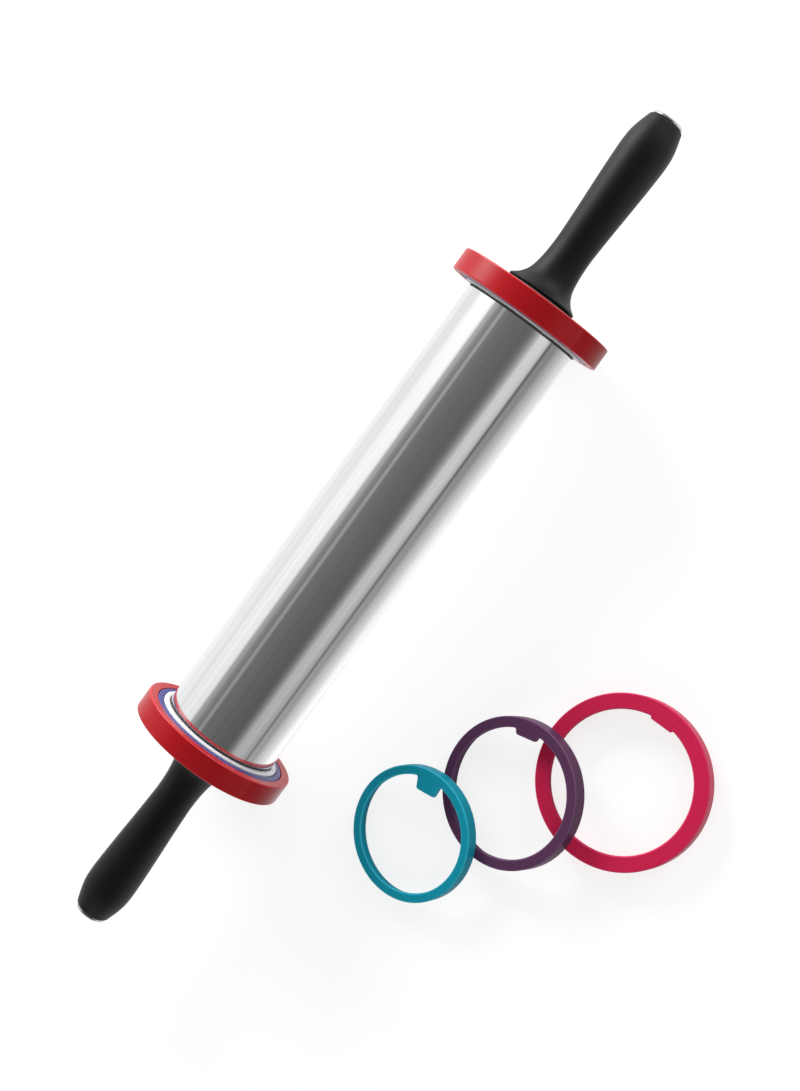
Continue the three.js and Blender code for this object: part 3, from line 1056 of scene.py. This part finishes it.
class ROLLING_PIN_OT_hidden_hardware(bpy.types.Operator):
    """Give the axle, bushes, cores and bolts inside their metal and plastic finishes"""

    bl_idname = "rolling_pin.hidden_hardware"
    bl_label = "Hidden Hardware"

    def execute(self, context):
        finishes = context.scene.rolling_pin_finishes
        steel = shared("turned_steel", turned_steel, finishes)
        nylon = shared("nylon", natural_nylon, finishes)
        plastic = shared("black_plastic", black_plastic, finishes)
        wanted = [("axle", steel)]
        for kind, material in (("bush", nylon), ("handle_core", plastic), ("handle_bolt", steel)):
            wanted += [(f"{kind}_{side}", material) for side in SIDES]
        for node, material in wanted:
            for material_slot in frame["nodes"][node].material_slots:
                material_slot.material = material
        return {"FINISHED"}


class ROLLING_PIN_OT_stage(bpy.types.Operator):
    """Set out the floor, the white room, the lamps and the camera"""

    bl_idname = "rolling_pin.stage"
    bl_label = "Stage"

    def execute(self, context):
        settings = context.scene.rolling_pin_stage
        self.floor()
        self.cards()
        self.room(context, settings)
        self.lamps(settings)
        self.camera(context, settings)
        context.scene.view_settings.view_transform = "Standard"
        return {"FINISHED"}

    def floor(self):
        """A square sheet just under the lowest point of the object."""
        reach, gap = 5.0, 0.05 * MM
        level = float(cad_bounds[0][2]) - gap
        corners = [(-reach, -reach), (reach, -reach), (reach, reach), (-reach, reach)]
        stage_mesh("floor", [(x, y, level) for x, y in corners], [(0, 1, 2, 3)], floor_paper())

    def cards(self):
        """Two wide cards far above the pin and two narrow ones close to it, for the steel to reflect."""
        over = [
            (-94, 0.84), (-86, 0.84), (-82.5, 0.72), (-79.5, 0.76), (-75, 0.88), (-60, 0.93), (-45, 0.93),
            (-39, 0.84), (-34.5, 0.38), (-31, 0.4), (-26, 0.26), (-18, 0.18), (-15.5, 0.31),
            (-11.5, 0.31), (-9, 0.165), (12, 0.13), (42, 0.11), (50, 0.13),
        ]
        near_side = [(50, 0.15), (57, 0.27), (67, 0.6), (76, 0.64), (84, 0.56), (94, 0.36)]
        beside = [
            (72.5, 0.4), (74.5, 0.17), (76.5, 0.17), (79.5, 0.31), (87, 0.3), (95, 0.48), (104, 0.6),
            (110, 0.66), (116, 0.84), (138, 1.0),
        ]
        behind = [
            (-138, 0.3), (-124, 0.5), (-108, 0.9), (-100, 1.0), (-91, 0.99), (-82, 0.95), (-74, 0.91),
            (-68, 0.9), (-60, 0.92), (-57, 0.86),
        ]
        self.card("card_over_pin", over, **FAR_CARDS, skew=0.2, gain=1.12, rise=0.45)
        self.card("card_near_side", near_side, **FAR_CARDS, rise=0.9)
        self.card("card_beside_pin", beside, **NEAR_CARDS, gain=1.03, rise=-1.5)
        self.card("card_behind_pin", behind, **NEAR_CARDS, rise=-0.25)

    def card(self, name, levels, radius, reach, skew=0.0, gain=1.0, rise=0.0):
        """A card on an arc about the pin's axis over the angles of its levels, seen only in reflections."""
        count = 72
        turn = np.radians(np.linspace(levels[0][0], levels[-1][0], count))
        y = AXIS[1] - radius * np.sin(turn)
        z = AXIS[2] + radius * np.cos(turn)
        ends = [np.column_stack([np.full(count, x), y, z]) for x in (-reach, reach)]
        points = np.concatenate(ends).tolist()
        faces = [(i, i + 1, count + i + 1, count + i) for i in range(count - 1)]
        glossy_only(stage_mesh(name, points, faces, card_paint(name, levels, skew, gain, rise)))

    def room(self, context, settings):
        """A white world: full strength where it is seen, and the room's light on the object."""
        world = bpy.data.worlds.new("white_room")
        context.scene.world = world
        finish = Finish(world)
        white = (1.0, 1.0, 1.0, 1.0)
        light = finish.node("ShaderNodeBackground", {"Color": white, "Strength": settings.room})
        seen = finish.node("ShaderNodeBackground", {"Color": white, "Strength": 1.0})
        sockets = {0: seen_directly(finish), 1: light.outputs[0], 2: seen.outputs[0]}
        mix = finish.node("ShaderNodeMixShader", sockets)
        finish.node("ShaderNodeOutputWorld", {"Surface": mix.outputs[0]})

    def lamps(self, settings):
        """One large lamp behind the pin and a soft one beyond each end of it."""
        area_lamp("key_lamp", (0.42, 0.82, 0.4), distance=1.3, size=0.7, power=settings.key_power)
        low_end, high_end = (-0.85, -0.25, 0.42), (0.9, -0.25, 0.38)
        area_lamp("low_end_lamp", low_end, distance=1.4, size=1.2, power=settings.low_end_power)
        area_lamp("high_end_lamp", high_end, distance=1.4, size=1.0, power=settings.high_end_power)

    def camera(self, context, settings):
        """The photograph's view: azimuth and elevation about the point looked at, then the roll."""
        aside = Vector((3.0, -15.0, -6.5)) * MM
        target = Vector(AXIS) + aside
        azimuth, elevation = settings.azimuth, settings.elevation
        back = Vector(
            (
                math.sin(azimuth) * math.cos(elevation),
                -math.cos(azimuth) * math.cos(elevation),
                math.sin(elevation),
            )
        )
        level = Vector((math.cos(azimuth), math.sin(azimuth), 0.0))
        upright = back.cross(level)
        right = level * math.cos(settings.roll) + upright * math.sin(settings.roll)
        up = back.cross(right)
        turn = Matrix((right, up, back)).transposed().to_4x4()
        data = bpy.data.cameras.new("photo_camera")
        data.lens = settings.lens
        data.sensor_width = 36.0
        data.clip_end = 50.0
        camera = add_object("photo_camera", data)
        camera.matrix_world = Matrix.Translation(target + back * settings.distance) @ turn
        context.scene.camera = camera


OPERATORS = (
    ROLLING_PIN_OT_barrel,
    ROLLING_PIN_OT_seals,
    ROLLING_PIN_OT_plugs,
    ROLLING_PIN_OT_washers,
    ROLLING_PIN_OT_collars,
    ROLLING_PIN_OT_grips,
    ROLLING_PIN_OT_caps,
    ROLLING_PIN_OT_fitted_rings,
    ROLLING_PIN_OT_spare_rings,
    ROLLING_PIN_OT_hidden_hardware,
    ROLLING_PIN_OT_stage,
)


class ROLLING_PIN_PT_panel(bpy.types.Panel):
    """Sizes, finishes and pieces of the rolling pin"""

    bl_label = "Rolling Pin"
    bl_space_type = "VIEW_3D"
    bl_region_type = "UI"
    bl_category = "Rolling Pin"

    def draw(self, context):
        for group in GROUPS:
            box = self.layout.box()
            settings = getattr(context.scene, group)
            for name in settings.bl_rna.properties.keys():
                if name not in ("rna_type", "name"):
                    box.prop(settings, name)
        for operator in OPERATORS:
            self.layout.operator(operator.bl_idname)


def register():
    for owner in (*GROUPS.values(), *OPERATORS, ROLLING_PIN_PT_panel):
        bpy.utils.register_class(owner)
    for name, group in GROUPS.items():
        setattr(bpy.types.Scene, name, bpy.props.PointerProperty(type=group))


def unregister():
    for name in GROUPS:
        delattr(bpy.types.Scene, name)
    for owner in (ROLLING_PIN_PT_panel, *reversed(OPERATORS), *reversed(GROUPS.values())):
        bpy.utils.unregister_class(owner)


def main():
    """Builds every piece and the stage."""
    register()
    for operator in OPERATORS:
        group, name = operator.bl_idname.split(".")
        getattr(getattr(bpy.ops, group), name)()


if __name__ == "__main__":
    main()
